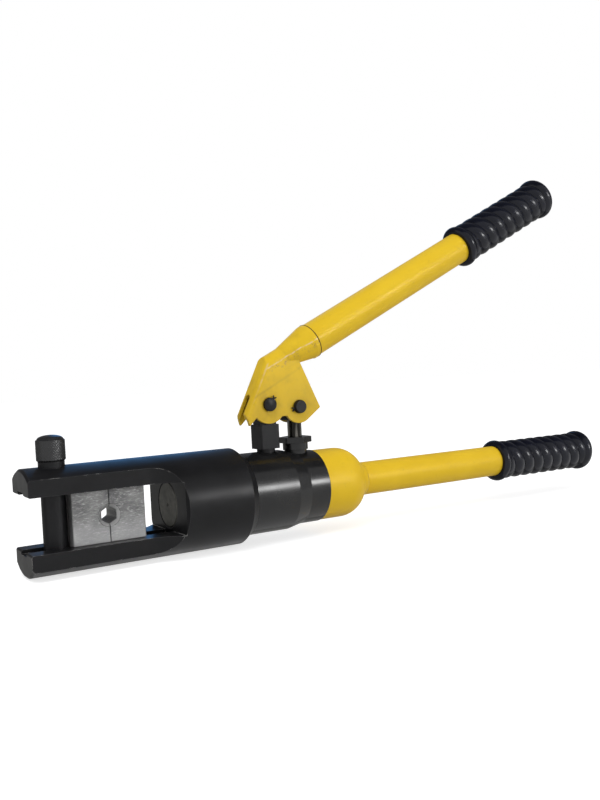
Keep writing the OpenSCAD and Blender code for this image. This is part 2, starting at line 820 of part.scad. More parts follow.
// Slot in the front web, open at the bottom and round at the top
module front_slot() {
    slot_len = slot_top_h + tooth_drop;
    translate([post_x, 0, axis_z + fulcrum_h])
        rotate([0, front_lean, 0])
            translate([-front_dist - over, 0, slot_top_h - slot_w / 2]) {
                rotate([0, 90, 0])
                    cylinder(d = slot_w, h = sheet_t + 2 * over);
                translate([0, -slot_w / 2, -2 * slot_len])
                    cube([sheet_t + 2 * over, slot_w, 2 * slot_len]);
            }
}

module tube(len) {
    difference() {
        cylinder(d = tube_d, h = len);
        translate([0, 0, -over])
            cylinder(d = tube_bore_d, h = len + 2 * over);
    }
}

module lever_tube() {
    color("#e0b52c")
        on_lever(seam_dist)
            tube(lever_tube_len + grip_len - grip_end_wall);
}

// Grip round a tube: mouth flange, round ribs and a closed end, from local Z of 0
rib_pitch = (grip_len - mouth_flange_len - end_flange_len) / rib_count;
groove_d = sqrt(pow(rib_d, 2) - pow(rib_pitch, 2));

module flange(z, len, d) {
    round_r = len / 2;
    translate([0, 0, z])
        rotate_extrude()
            translate([d / 2 - round_r, round_r])
                circle(r = round_r);
    translate([0, 0, z])
        cylinder(r = d / 2 - round_r, h = len);
}

module rib(z) {
    intersection() {
        translate([0, 0, z + rib_pitch / 2])
            sphere(d = rib_d);
        translate([0, 0, z])
            cylinder(d = rib_d, h = rib_pitch);
    }
}

module grip() {
    difference() {
        union() {
            flange(0, mouth_flange_len, mouth_flange_d);
            translate([0, 0, mouth_flange_len / 2])
                cylinder(d = groove_d, h = grip_len - (mouth_flange_len + end_flange_len) / 2);
            for (k = [0:rib_count - 1])
                rib(mouth_flange_len + rib_pitch * k);
            flange(grip_len - end_flange_len, end_flange_len, end_flange_d);
        }
        translate([0, 0, -over])
            cylinder(d = tube_d + 2 * running, h = grip_len - grip_end_wall + over);
    }
}

module lever_grip() {
    color("#191a1d")
        on_lever(lever_grip_s)
            grip();
}

// Pin with a head on the far side and a hole for a split pin beside the near cheek
module clevis(x, z, turn, domed) {
    near_y = -bracket_w / 2 - clevis_proud;
    far_y = bracket_w / 2;
    difference() {
        union() {
            across(x, z, near_y + clevis_bevel, far_y + over, clevis_d);
            if (domed)
                intersection() {
                    translate([x, near_y + clevis_dome_r, axis_z + z])
                        sphere(r = clevis_dome_r);
                    across(x, z, near_y - over, near_y + clevis_bevel, clevis_d);
                }
            else
                translate([x, near_y, axis_z + z])
                    rotate([-90, 0, 0])
                        cylinder(d1 = clevis_d - clevis_bevel, d2 = clevis_d, h = clevis_bevel);
            across(x, z, far_y, far_y + clevis_head_t, clevis_head_d);
        }
        split_place(x, z, turn)
            cylinder(d = split_d + 2 * running, h = 2 * clevis_d, center = true);
    }
}

clevis_dome_r = (pow(clevis_d / 2, 2) + pow(clevis_bevel, 2)) / (2 * clevis_bevel);

module split_place(x, z, turn) {
    translate([x, -bracket_w / 2 - split_d / 2 - gap, axis_z + z])
        rotate([0, turn, 0])
            children();
}

// Turn of each split pin about its own clevis pin
front_split_turn = 38;
rear_split_turn = -105;

module fulcrum_pin() {
    color("#17181a")
        clevis(post_x, fulcrum_h, front_split_turn, true);
}

module plunger_pin() {
    color("#17181a")
        clevis(plunger_x, plunger_pin_h, rear_split_turn, false);
}

// A split pin: a round shank flush with the clevis pin at one end, and two spread legs at the other
split_leg_angle = 32;
split_leg_share = 0.6;

module split_pin(x, z, turn) {
    split_place(x, z, turn) {
        translate([0, 0, split_d / 2 - clevis_d / 2])
            cylinder(d = split_d, h = clevis_d);
        for (side = [-1, 1])
            translate([0, 0, clevis_d / 2])
                rotate([0, side * split_leg_angle, 0])
                    cylinder(d = split_d * split_leg_share, h = split_proud);
    }
}

module split_pins() {
    color("#2a2b2d") {
        split_pin(post_x, fulcrum_h, front_split_turn);
        split_pin(plunger_x, plunger_pin_h, rear_split_turn);
    }
}

cap_shoulder_x = cap_end_x - cap_round_len;
cap_cavity_d = tail_d - 2 * sheet_t;
cap_cavity_x = cap_shoulder_x + cap_round_len / 2;

module reservoir_cap() {
    color("#e0b52c")
        difference() {
            union() {
                rod(cap_x, cap_shoulder_x, cap_d);
                on_axis(cap_shoulder_x)
                    rotate_extrude()
                        intersection() {
                            translate([cap_d / 2 - cap_round_r, 0])
                                circle(r = cap_round_r);
                            square([cap_d / 2, cap_round_len]);
                        }
                on_axis(cap_end_x - over)
                    cylinder(d1 = tube_d + 2 * weld_h, d2 = tube_d, h = weld_len + over);
            }
            rod(cap_x - over, tail_x + gap, tail_d + 2 * running);
            rod(cap_x, cap_cavity_x, cap_cavity_d);
            rod(cap_x, cap_end_x + weld_len + over, tube_d + 2 * running);
        }
}

module handle_tube() {
    color("#e0b52c")
        on_axis(cap_cavity_x)
            tube(grip_x + grip_len - grip_end_wall - cap_cavity_x);
}

module handle_grip() {
    color("#191a1d")
        on_axis(grip_x)
            grip();
}

// The spindle turns with the handle and closes the return passage with its cone
module release_spindle() {
    color("#8f8f8b") {
        on_axis(chamber_x + gap)
            cylinder(d1 = passage_d, d2 = spindle_d, h = spindle_d / 2);
        rod(chamber_x + gap + spindle_d / 2, cap_end_x, spindle_d);
        rod(cap_cavity_x + over, cap_end_x, tube_bore_d - 2 * running);
    }
}

module oil_bladder() {
    color("#2b2b2e")
        ring(tail_x, cap_cavity_x - gap, cap_cavity_d - 2 * gap, 2 * spindle_d);
}

// Ball, spring and screw of a rear valve chamber
module chamber_ball(y, z) {
    translate([chamber_x + ball_d / 2, y, axis_z + z])
        sphere(d = ball_d);
}

module chamber_spring(y, z) {
    translate([0, y, z])
        on_axis(chamber_x + ball_d)
            coil(ball_d / 2 - valve_wire_d, valve_wire_d, valve_spring_len, valve_turns, 8, 6);
}

module chamber_screw(y, z) {
    difference() {
        bar(tail_x - valve_screw_len, tail_x, chamber_d - 2 * running, y, z);
        bar(tail_x - valve_screw_len - over, tail_x + over, passage_d, y, z);
    }
}

module suction_ball() {
    color("#c8c8c8")
        chamber_ball(0, chamber_h);
}

module suction_spring() {
    color("#8a8d90")
        chamber_spring(0, chamber_h);
}

module suction_screw() {
    color("#b08d3f")
        chamber_screw(0, chamber_h);
}

module relief_ball() {
    color("#c8c8c8")
        chamber_ball(relief_side, 0);
}

module relief_spring() {
    color("#8a8d90")
        chamber_spring(relief_side, 0);
}

module relief_screw() {
    color("#b08d3f")
        chamber_screw(relief_side, 0);
}

module delivery_ball() {
    color("#c8c8c8")
        translate([delivery_x - ball_d / 2, 0, axis_z + chamber_h])
            sphere(d = ball_d);
}

delivery_spring_x = delivery_x - ball_d - valve_spring_len;

module delivery_spring() {
    color("#8a8d90")
        translate([0, 0, chamber_h])
            on_axis(delivery_spring_x)
                coil(ball_d / 2 - valve_wire_d, valve_wire_d, valve_spring_len, valve_turns, 8, 6);
}

module delivery_plug() {
    color("#b08d3f")
        difference() {
            bar(cylinder_x, delivery_spring_x, chamber_d - 2 * running, 0, chamber_h);
            bar(cylinder_x - over, delivery_spring_x + over, passage_d, 0, chamber_h);
        }
}

jaw_head();
pump_body();
body_seal();
ram_wiper();
ram();
ram_seal();
ram_return_spring();
fixed_die();
moving_die();
die_pin();
pin_knob();
fulcrum_post();
gland_nut();
plunger_seal();
plunger();
lever_bracket();
lever_tube();
lever_grip();
fulcrum_pin();
plunger_pin();
split_pins();
reservoir_cap();
handle_tube();
handle_grip();
release_spindle();
cap_seal();
oil_bladder();
suction_ball();
suction_spring();
suction_screw();
delivery_ball();
delivery_spring();
delivery_plug();
relief_ball();
relief_spring();
relief_screw();
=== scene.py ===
"""Looks of a hand-pumped hydraulic crimping tool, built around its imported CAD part."""
import math

import bmesh
import bpy
from mathutils import Matrix, Vector


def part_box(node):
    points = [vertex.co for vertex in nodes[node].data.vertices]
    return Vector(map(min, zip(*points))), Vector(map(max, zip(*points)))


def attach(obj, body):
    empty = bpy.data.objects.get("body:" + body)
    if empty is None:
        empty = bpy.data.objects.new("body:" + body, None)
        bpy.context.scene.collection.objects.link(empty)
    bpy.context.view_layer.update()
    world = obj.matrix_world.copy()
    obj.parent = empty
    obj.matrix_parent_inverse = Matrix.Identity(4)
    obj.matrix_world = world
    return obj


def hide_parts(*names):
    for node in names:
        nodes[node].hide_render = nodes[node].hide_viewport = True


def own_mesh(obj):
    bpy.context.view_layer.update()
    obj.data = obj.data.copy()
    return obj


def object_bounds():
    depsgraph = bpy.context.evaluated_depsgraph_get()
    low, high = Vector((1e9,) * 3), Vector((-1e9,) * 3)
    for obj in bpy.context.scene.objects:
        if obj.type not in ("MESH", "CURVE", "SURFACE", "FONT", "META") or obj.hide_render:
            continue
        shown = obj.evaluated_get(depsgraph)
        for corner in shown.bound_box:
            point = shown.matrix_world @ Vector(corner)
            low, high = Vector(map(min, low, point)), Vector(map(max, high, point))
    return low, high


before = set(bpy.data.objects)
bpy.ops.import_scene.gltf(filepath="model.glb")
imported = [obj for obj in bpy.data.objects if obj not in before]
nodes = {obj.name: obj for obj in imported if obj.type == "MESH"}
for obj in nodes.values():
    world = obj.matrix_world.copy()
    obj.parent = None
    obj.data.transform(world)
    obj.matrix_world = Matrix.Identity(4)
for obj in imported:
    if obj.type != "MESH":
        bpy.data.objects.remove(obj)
cad_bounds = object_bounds()
scene = bpy.context.scene
scene.view_settings.view_transform = "Standard"

MM = 0.001
AXIS_X = Vector((1, 0, 0))
AXIS_Y = Vector((0, 1, 0))
AXIS_Z = Vector((0, 0, 1))
LEVER_ANGLE = math.radians(26.1)
LEVER_DIR = Vector((math.cos(LEVER_ANGLE), 0, math.sin(LEVER_ANGLE)))


def middle(node):
    """The centre of a CAD node's box."""
    low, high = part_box(node)
    return (low + high) / 2


def size(node):
    """The lengths of a CAD node's box."""
    low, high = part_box(node)
    return high - low


# The shares between which most of a noise lies
NOISE_LOW_SHARE = 0.3
NOISE_HIGH_SHARE = 0.7
EDGE_SAMPLES = 6


class Shader:
    """A node material with short calls for the textures that the tool's finishes share."""

    def __init__(self, name, color, roughness=0.5, metallic=0.0, specular=0.5):
        self.material = bpy.data.materials.new(name)
        self.material.use_nodes = True
        self.tree = self.material.node_tree
        self.bsdf = self.tree.nodes["Principled BSDF"]
        self.color((*color, 1.0))
        self.rough(roughness)
        self.metal(metallic)
        self.put(self.bsdf.inputs["Specular IOR Level"], specular)
        self.coords = self.tree.nodes.new("ShaderNodeTexCoord").outputs["Object"]

    def put(self, socket, value):
        """Links a socket to a socket, or sets its value."""
        if isinstance(value, bpy.types.NodeSocket):
            self.tree.links.new(value, socket)
        else:
            socket.default_value = value

    def color(self, value):
        self.put(self.bsdf.inputs["Base Color"], value)

    def rough(self, value):
        self.put(self.bsdf.inputs["Roughness"], value)

    def metal(self, value):
        self.put(self.bsdf.inputs["Metallic"], value)

    def normal(self, value):
        self.put(self.bsdf.inputs["Normal"], value)

    def glow(self, color, strength):
        self.put(self.bsdf.inputs["Emission Color"], (*color, 1.0))
        self.put(self.bsdf.inputs["Emission Strength"], strength)

    def node(self, kind, **inputs):
        """A new node with its inputs set or linked by name."""
        made = self.tree.nodes.new(kind)
        for name, value in inputs.items():
            self.put(made.inputs[name.replace("_", " ")], value)
        return made

    def noise(self, scale, detail=3.0, rough=0.55, stretch=(1, 1, 1)):
        """Noise with features about 1/scale metres across, drawn out into streaks by a stretch."""
        place = self.node("ShaderNodeMapping", Vector=self.coords, Scale=stretch).outputs["Vector"]
        made = self.node("ShaderNodeTexNoise", Vector=place, Scale=scale, Detail=detail, Roughness=rough)
        return made.outputs["Fac"]

    def ramp(self, value, low, high, out_low=0.0, out_high=1.0):
        """A value mapped from one range to another and held at the ends."""
        made = self.node("ShaderNodeMapRange", Value=value, From_Min=low, From_Max=high, To_Min=out_low,
                         To_Max=out_high)
        return made.outputs["Result"]

    def spread(self, noise, out_low=0.0, out_high=1.0):
        """The usual range of a noise mapped to another range."""
        return self.ramp(noise, NOISE_LOW_SHARE, NOISE_HIGH_SHARE, out_low, out_high)

    def math(self, operation, first, second=0.0):
        made = self.tree.nodes.new("ShaderNodeMath")
        made.operation = operation
        self.put(made.inputs[0], first)
        self.put(made.inputs[1], second)
        return made.outputs["Value"]

    def times(self, first, second):
        return self.math("MULTIPLY", first, second)

    def plus(self, first, second):
        return self.math("ADD", first, second)

    def vector_math(self, operation, first, second=(0, 0, 0)):
        """The outputs of a vector operation."""
        made = self.tree.nodes.new("ShaderNodeVectorMath")
        made.operation = operation
        self.put(made.inputs[0], first)
        self.put(made.inputs[1], second)
        return made.outputs

    def mix(self, share, first, second):
        """Two colours mixed by a share."""
        made = self.tree.nodes.new("ShaderNodeMix")
        made.data_type = "RGBA"
        self.put(made.inputs["Factor"], share)
        for name, colour in (("A", first), ("B", second)):
            socket = next(s for s in made.inputs if s.name == name and s.type == "RGBA")
            self.put(socket, colour if isinstance(colour, bpy.types.NodeSocket) else (*colour, 1.0))
        return next(s for s in made.outputs if s.type == "RGBA")

    def soft_edges(self, radius):
        """A normal that rounds the edges over a radius."""
        made = self.node("ShaderNodeBevel", Radius=radius)
        made.samples = EDGE_SAMPLES
        return made.outputs["Normal"]

    def edges(self, radius, low, high):
        """A mask that is 1 on outer edges."""
        true_normal = self.node("ShaderNodeNewGeometry").outputs["Normal"]
        facing = self.vector_math("DOT_PRODUCT", self.soft_edges(radius), true_normal)
        return self.ramp(facing["Value"], high, low)

    def edge_mask(self, radius, low, high):
        """A mask that is 1 on outer edges, broken up by noise."""
        return self.times(self.edges(radius, low, high), self.ramp(self.noise(260), 0.42, 0.62))

    def plane(self, point, direction):
        """Signed distance of the shaded point from a plane, in metres."""
        along_it = self.vector_math("DOT_PRODUCT", self.coords, tuple(direction))["Value"]
        return self.math("SUBTRACT", along_it, Vector(point).dot(Vector(direction)))

    def reach(self, point, across=(1, 0, 1)):
        """Distance of the shaded point from a line through a point, measured along the given axes."""
        away = self.vector_math("SUBTRACT", self.coords, tuple(point))["Vector"]
        flat = self.vector_math("MULTIPLY", away, tuple(across))["Vector"]
        return self.vector_math("LENGTH", flat)["Value"]

    def band(self, value, center, half):
        """A mask that is 1 at the middle of a band and 0 at its sides."""
        away = self.math("ABSOLUTE", self.math("SUBTRACT", value, center))
        return self.ramp(away, half, 0.0)

    def bump(self, height, distance, strength, normal=None):
        """Bumps the surface, on top of a normal if one is given."""
        made = self.node("ShaderNodeBump", Height=height, Distance=distance, Strength=strength)
        if normal is not None:
            self.put(made.inputs["Normal"], normal)
        return made.outputs["Normal"]


# Finishes

BARE_STEEL = (0.5, 0.49, 0.47)
HEAD_DARK = (0.007, 0.007, 0.0075)
HEAD_PALE = (0.0105, 0.0105, 0.0115)
# Paler colour of the edges: a painted highlight, and the coating worn thin there
HEAD_EDGE_HIGHLIGHT_AND_WEAR = (0.09, 0.09, 0.092)
HEAD_WEAR = 0.8 * MM
HEAD_ROUND = 0.5 * MM
HEAD_GRAIN = 0.02 * MM
# The window's rear corners, where the coating is rubbed through
WINDOW_CORNER_HALF = 15 * MM
WINDOW_WEAR = 4 * MM


def black_head():
    """Satin black coating, paler along the edges as a painted highlight and as coating worn thin, with bare
    steel showing at a few worn spots.
    """
    s = Shader("head_black", HEAD_DARK, specular=0.14)
    edge = s.edges(HEAD_WEAR, 0.8, 0.97)
    corner = s.ramp(s.reach(middle("ram"), AXIS_Z), WINDOW_CORNER_HALF, WINDOW_CORNER_HALF + WINDOW_WEAR)
    rear = s.band(s.plane(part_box("ram")[0], AXIS_X), 0.0, WINDOW_WEAR)
    worn = s.times(s.times(corner, rear), 0.2)
    spots = s.times(edge, s.ramp(s.plus(s.noise(120), worn), 0.56, 0.66))
    cloudy = s.ramp(s.noise(40), 0.35, 0.7)
    # Paler along every edge: painted highlight together with coating worn thin
    rubbed = s.mix(s.times(edge, 0.6), s.mix(cloudy, HEAD_DARK, HEAD_PALE), HEAD_EDGE_HIGHLIGHT_AND_WEAR)
    s.color(s.mix(s.times(spots, 0.85), rubbed, BARE_STEEL))
    s.rough(s.spread(s.noise(90, 4), 0.28, 0.36))
    s.normal(s.bump(s.noise(1400, 2), HEAD_GRAIN, 0.3, s.soft_edges(HEAD_ROUND)))
    return s.material


BODY_DARK = (0.006, 0.006, 0.0065)
BODY_PALE = (0.011, 0.011, 0.011)
BODY_ROUND = 0.4 * MM


def black_turned():
    """Glossy black oxide on turned steel, with faint tool marks round the axis."""
    s = Shader("pump_black", BODY_DARK, specular=0.3)
    marks = s.noise(900, 2, stretch=(1, 0.02, 0.02))
    cloudy = s.ramp(s.noise(55, 5), 0.35, 0.72)
    s.color(s.mix(cloudy, BODY_DARK, BODY_PALE))
    s.rough(s.plus(s.spread(marks, 0.168, 0.178), s.times(cloudy, 0.08)))
    s.normal(s.soft_edges(BODY_ROUND))
    return s.material


PART_BLACK = (0.008, 0.008, 0.009)
PART_RUBBED = (0.18, 0.18, 0.18)
PART_WEAR = 0.5 * MM
PART_ROUND = 0.35 * MM
PART_GRAIN = 0.015 * MM


def black_part():
    """Black oxide on the small steel pieces."""
    s = Shader("part_black", PART_BLACK, specular=0.17)
    worn = s.edge_mask(PART_WEAR, 0.72, 0.92)
    s.color(s.mix(s.times(worn, 0.35), PART_BLACK, PART_RUBBED))
    s.rough(s.spread(s.noise(220, 4), 0.28, 0.44))
    s.normal(s.bump(s.noise(1600, 2), PART_GRAIN, 0.4, s.soft_edges(PART_ROUND)))
    return s.material


KNOB_BLACK = (0.012, 0.012, 0.013)
KNOB_RUBBED = (0.12, 0.12, 0.12)
KNOB_WEAR = 0.3 * MM
KNOB_GRAIN = 0.01 * MM


def knob_black():
    """Glossier black of the knurled knob, rubbed on the tips of the knurl."""
    s = Shader("knob_black", KNOB_BLACK, specular=0.42)
    worn = s.edge_mask(KNOB_WEAR, 0.8, 0.96)
    s.color(s.mix(s.times(worn, 0.5), KNOB_BLACK, KNOB_RUBBED))
    s.rough(s.spread(s.noise(220, 4), 0.22, 0.36))
    s.normal(s.bump(s.noise(1600, 2), KNOB_GRAIN, 0.3))
    return s.material


DIE_DARK = (0.085, 0.085, 0.087)
DIE_GREY = (0.2, 0.2, 0.196)
DIE_SCRATCH = (0.42, 0.42, 0.415)
DIE_MARK = (0.06, 0.06, 0.06)
# Paler tone low on the dies' faces: painted light
DIE_PAINTED_LIGHT = (0.46, 0.46, 0.465)
DIE_FOOT = (0.62, 0.62, 0.61)
DIE_MOUTH = (0.36, 0.36, 0.355)
DIE_RIM = (0.03, 0.03, 0.03)
DIE_SPLIT = (0.015, 0.015, 0.015)
DIE_ROUND = 0.25 * MM
DIE_GRAIN = 0.02 * MM
DIE_PAINTED_LIGHT_H = 22 * MM
FOOT_H = 0.9 * MM
SPLIT_HALF = 0.5 * MM
# The polished mouth of the dies' nest
NEST_R = 5.4 * MM
NEST_SOFT = 0.2 * MM
FLARE_R = 7.2 * MM
FLARE_SOFT = 0.1 * MM
RIM_HALF = 0.4 * MM


def die_steel():
    """Ground grey steel with a fine slanting grain, dull patches, a polished mouth round the nest, and painted
    light that makes the faces paler towards the foot.
    """
    s = Shader("die_steel", DIE_GREY)
    low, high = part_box("fixed_die")
    nest = Vector((high.x, 0, middle("fixed_die").z))
    grain = s.noise(1250, 4, 0.65, stretch=(0.32, 1, 1.2))
    patches = s.ramp(s.noise(80, 5), 0.32, 0.7)
    ground = s.mix(patches, DIE_DARK, DIE_GREY)
    scratched = s.mix(s.ramp(grain, 0.52, 0.68, 0.0, 0.65), ground, DIE_SCRATCH)
    marked = s.mix(s.ramp(grain, 0.46, 0.34, 0.0, 0.4), scratched, DIE_MARK)
    above = s.plane(low, AXIS_Z)
    # Painted light: the faces paler towards their foot
    paler = s.mix(s.ramp(above, 0.0, DIE_PAINTED_LIGHT_H, 0.7, 0.0), marked, DIE_PAINTED_LIGHT)
    footed = s.mix(s.ramp(above, FOOT_H, 0.0, 0.0, 0.8), paler, DIE_FOOT)
    away = s.reach(nest)
    mouth = s.times(s.ramp(away, NEST_R - NEST_SOFT, NEST_R), s.ramp(away, FLARE_R + FLARE_SOFT, FLARE_R))
    polished = s.mix(s.times(mouth, 0.75), footed, DIE_MOUTH)
    rim = s.times(s.band(away, FLARE_R + RIM_HALF, RIM_HALF), s.ramp(s.noise(300), 0.35, 0.55))
    rimmed = s.mix(s.times(rim, 0.85), polished, DIE_RIM)
    split = s.band(s.plane(nest, AXIS_X), 0.0, SPLIT_HALF)
    s.color(s.mix(s.times(split, 0.9), rimmed, DIE_SPLIT))
    s.metal(s.ramp(mouth, 0.0, 1.0, 0.45, 0.7))
    s.rough(s.plus(s.spread(grain, 0.36, 0.48), s.ramp(patches, 0.0, 1.0, 0.08, 0.0)))
    s.normal(s.bump(grain, DIE_GRAIN, 0.35, s.soft_edges(DIE_ROUND)))
    return s.material


RAM_DARK = (0.085, 0.085, 0.074)
RAM_PALE = (0.135, 0.129, 0.113)
RAM_ROUND = 0.3 * MM
RAM_GRAIN = 0.01 * MM


def ram_steel():
    """Oiled dark steel of the ram's face."""
    s = Shader("ram_steel", RAM_DARK, metallic=0.35, specular=0.2)
    patches = s.ramp(s.noise(180, 5), 0.35, 0.7)
    s.color(s.mix(patches, RAM_DARK, RAM_PALE))
    s.rough(s.spread(s.noise(500), 0.38, 0.52))
    s.normal(s.bump(s.noise(1500, 2), RAM_GRAIN, 0.3, s.soft_edges(RAM_ROUND)))
    return s.material


STEEL_ROUND = 0.25 * MM
STEEL_GRAIN = 0.01 * MM


def bright_steel():
    """Ground bright steel of the valve pieces and springs."""
    s = Shader("bright_steel", BARE_STEEL, metallic=1.0)
    rings = s.noise(1500, 2, stretch=(0.03, 0.03, 1))
    s.rough(s.spread(rings, 0.18, 0.3))
    s.normal(s.bump(rings, STEEL_GRAIN, 0.25, s.soft_edges(STEEL_ROUND)))
    return s.material


PLUNGER_DARK = (0.014, 0.0135, 0.012)
# Bright streaks: polish, widened to serve as a painted highlight down the rod
PLUNGER_POLISH_AND_HIGHLIGHT = (0.21, 0.2, 0.18)
# Black of the eye: painted shade where it sits between the bracket's cheeks
PLUNGER_EYE_SHADE = (0.007, 0.007, 0.007)
PLUNGER_ROUND = 0.3 * MM
PLUNGER_GRAIN = 0.01 * MM
EYE_H = 20 * MM
EYE_SOFT = 0.5 * MM


def plunger_steel():
    """Dark hardened steel of the plunger, polished below with bright streaks that are partly a painted
    highlight, and black on its eye as painted shade.
    """
    s = Shader("plunger_steel", PLUNGER_DARK, specular=0.02)
    streaks = s.noise(430, stretch=(1, 1, 0.03))
    eye_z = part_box("plunger")[1].z - EYE_H
    # The eye painted black and matt: painted shade between the bracket's cheeks
    eye = s.ramp(s.plane((0, 0, eye_z), AXIS_Z), -EYE_SOFT, EYE_SOFT)
    # Polished streaks, bright enough to stand in as a painted highlight down the rod
    polished = s.mix(s.ramp(streaks, 0.45, 0.62), PLUNGER_DARK, PLUNGER_POLISH_AND_HIGHLIGHT)
    s.color(s.mix(eye, polished, PLUNGER_EYE_SHADE))
    s.metal(s.ramp(eye, 0.0, 1.0, 0.9, 0.0))
    s.rough(s.plus(s.spread(streaks, 0.12, 0.22), s.times(eye, 0.25)))
    s.normal(s.bump(streaks, PLUNGER_GRAIN, 0.25, s.soft_edges(PLUNGER_ROUND)))
    return s.material


PAINT_PALE = (0.78, 0.52, 0.024)
PAINT_DEEP = (0.71, 0.46, 0.019)
# Dirt; on the bracket also the colour of painted shade
PAINT_DIRT_AND_SHADE = (0.26, 0.17, 0.035)
# Worn paint; along the bracket's folds also a painted highlight
PAINT_WORN_AND_HIGHLIGHT = (0.82, 0.66, 0.5)
PAINT_CHIP = (0.3, 0.16, 0.08)
PAINT_WEAR = 0.9 * MM
PAINT_GRAIN = 0.03 * MM
TUBE_ROUND = 0.6 * MM
BRACKET_ROUND = 0.8 * MM


def paint(name, rounding):
    """Yellow paint with faint dirt, small dark chips and paler worn edges: its shader and its colour."""
    s = Shader(name, PAINT_PALE, specular=0.12)
    clean = s.mix(s.spread(s.noise(30, 4)), PAINT_DEEP, PAINT_PALE)
    dirt = s.times(s.ramp(s.noise(170, 6, 0.7), 0.6, 0.78), 0.24)
    dirty = s.mix(dirt, clean, PAINT_DIRT_AND_SHADE)
    chips = s.ramp(s.noise(520, 3, 0.6), 0.72, 0.76)
    chipped = s.mix(s.times(chips, 0.45), dirty, PAINT_DIRT_AND_SHADE)
    worn = s.edge_mask(PAINT_WEAR, 0.75, 0.93)
    s.rough(s.spread(s.noise(120, 4), 0.28, 0.42))
    s.normal(s.bump(s.noise(420, 2), PAINT_GRAIN, 0.25, s.soft_edges(rounding)))
    return s, s.mix(s.times(worn, 0.55), chipped, PAINT_WORN_AND_HIGHLIGHT)


def yellow_paint():
    """The paint of the tubes and the cap."""
    s, colour = paint("yellow_paint", TUBE_ROUND)
    s.color(colour)
    return s.material


# The bracket's folds, measured from the fulcrum pin along and across the lever
CREASE_RISE = 23.9 * MM
CREASE_HALF = 0.7 * MM
CREASE_WAVE = 0.6 * MM
SCUFF_DROP = 3.0 * MM
SCUFF_HALF = 4.0 * MM
CHEEK_HALF = 8.0 * MM
FRONT_LEAN = math.radians(26.4)
FRONT_FOLD = 12.6 * MM
FRONT_FOLD_HALF = 1.1 * MM
# Height from which the front fold's painted highlight and rubbed paint fade in
FRONT_RUB_AND_HIGHLIGHT_LOW = 6 * MM
# Painted shade on the cheeks: a slanting line where the cheek bends and a fade downwards; and a darker patch
# round the pin
BEND_SHADE_FOOT = Vector((-13.1 * MM, 0, 4.8 * MM))
BEND_SHADE_ANGLE = math.radians(27)
BEND_SHADE_HALF = 1.5 * MM
BEND_SHADE_LEN = 34 * MM
LOWER_SHADE_DROP = 36 * MM
PIN_DARK_R = 13 * MM


def bracket_paint():
    """The paint of the bracket, with a painted highlight and rubbed paint along its folds, a painted shade
    line across the cheeks where they bend, painted shade lower down the cheeks and a darker patch round the
    fulcrum pin.
    """
    s, colour = paint("bracket_paint", BRACKET_ROUND)
    pivot = middle("fulcrum_pin")
    across = s.plane(pivot, (-math.sin(LEVER_ANGLE), 0, math.cos(LEVER_ANGLE)))
    side = s.math("ABSOLUTE", s.plane((0, 0, 0), AXIS_Y))
    cheek = s.ramp(side, CHEEK_HALF - CREASE_HALF, CHEEK_HALF)

    smudge = s.times(s.ramp(s.noise(65, 4), 0.5, 0.75), 0.3)
    # A painted shade line along the bend across the cheeks, broken up by noise and fading towards the back
    foot = (pivot.x + BEND_SHADE_FOOT.x, 0, pivot.z + BEND_SHADE_FOOT.z)
    over_line = s.plane(foot, (-math.sin(BEND_SHADE_ANGLE), 0, math.cos(BEND_SHADE_ANGLE)))
    streak = s.ramp(s.noise(90), 0.35, 0.6, 0.2, 0.5)
    behind = s.ramp(s.plane(foot, AXIS_X), 0.0, BEND_SHADE_LEN, 1.0, 0.3)
    line = s.times(s.band(over_line, 0.0, BEND_SHADE_HALF), s.times(streak, behind))
    dull = s.mix(s.times(line, cheek), s.mix(smudge, colour, PAINT_DIRT_AND_SHADE), PAINT_DIRT_AND_SHADE)
    # Painted shade: the cheeks darker the further they lie below the crease
    lower_cheek_shade = s.ramp(across, CREASE_RISE, CREASE_RISE - LOWER_SHADE_DROP, 0.0, 0.24)
    # Darker round the fulcrum pin, broken up by noise
    pin_darkening = s.times(s.ramp(s.reach(pivot), PIN_DARK_R, 0.0, 0.0, 0.75), s.ramp(s.noise(160, 4), 0.35, 0.7))
    shaded_and_pin_darkened = s.mix(pin_darkening, s.mix(lower_cheek_shade, dull, PAINT_DIRT_AND_SHADE), PAINT_DIRT_AND_SHADE)

    wavy = s.plus(across, s.spread(s.noise(120), -CREASE_WAVE, CREASE_WAVE))
    scuffs = s.times(s.band(wavy, CREASE_RISE - SCUFF_DROP, SCUFF_HALF), cheek)
    scuffed = s.times(scuffs, s.ramp(s.noise(420, 4, 0.7), 0.54, 0.64))
    chipped = s.mix(s.times(scuffed, 0.7), shaded_and_pin_darkened, PAINT_CHIP)

    # Painted highlight and rubbed paint along the front fold, fading out lower down
    forward = s.plane(pivot, (-math.cos(FRONT_LEAN), 0, math.sin(FRONT_LEAN)))
    front = s.times(s.band(forward, FRONT_FOLD, FRONT_FOLD_HALF), cheek)
    front_rub_and_highlight = s.times(front, s.ramp(s.noise(210, 4, 0.6), 0.36, 0.62, 0.15, 0.7))
    upper = s.ramp(across, FRONT_RUB_AND_HIGHLIGHT_LOW, CREASE_RISE, 0.1, 1.0)
    fronted = s.mix(s.times(front_rub_and_highlight, upper), chipped, PAINT_WORN_AND_HIGHLIGHT)
    # Painted highlight and rubbed paint along the crease at the top of the cheeks
    crease = s.times(s.band(wavy, CREASE_RISE, CREASE_HALF), cheek)
    rubbed = s.times(crease, s.ramp(s.noise(330, 4, 0.6), 0.34, 0.6))
    s.color(s.mix(s.times(rubbed, 0.75), fronted, PAINT_WORN_AND_HIGHLIGHT))
    return s.material


GRIP_DARK = (0.0014, 0.0022, 0.0065)
GRIP_PALE = (0.0028, 0.0038, 0.0105)
GRIP_DIMPLE = 0.04 * MM


